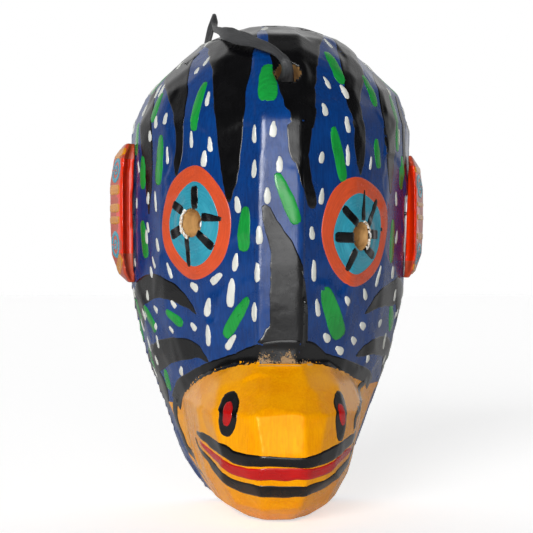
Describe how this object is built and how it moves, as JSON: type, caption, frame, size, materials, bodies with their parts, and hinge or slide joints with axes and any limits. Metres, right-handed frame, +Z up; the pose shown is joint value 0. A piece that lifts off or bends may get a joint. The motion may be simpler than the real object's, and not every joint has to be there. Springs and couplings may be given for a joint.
{
  "type": "carved wooden face mask",
  "caption": "Carved wooden animal face mask with a hollow back, drilled eye holes, two ears nailed to its sides and a leather thong, painted in bright enamels.",
  "frame": {"origin": "lowest point of the middle of the open back's rim, in the plane that the rim lies in", "axes": "+Z up the mask, +Y out of the open back towards the wearer or the wall, +X to the right as the face is looked at"},
  "size_m": [0.1675, 0.1178, 0.2578],
  "materials": {
    "mask_shell": "gloss enamel paint over carved wood",
    "left_ear": "gloss enamel paint over carved wood",
    "right_ear": "gloss enamel paint over carved wood",
    "nail": "painted over wire nail",
    "leather": "dry black leather"
  },
  "bodies": {
    "root": {"mask_shell": "mask_shell", "left_ear": "left_ear", "right_ear": "right_ear", "left_ear_nail": "nail", "right_ear_nail": "nail", "hanging_thong": "leather", "thong_knot": "leather"}
  },
  "joints": []
}
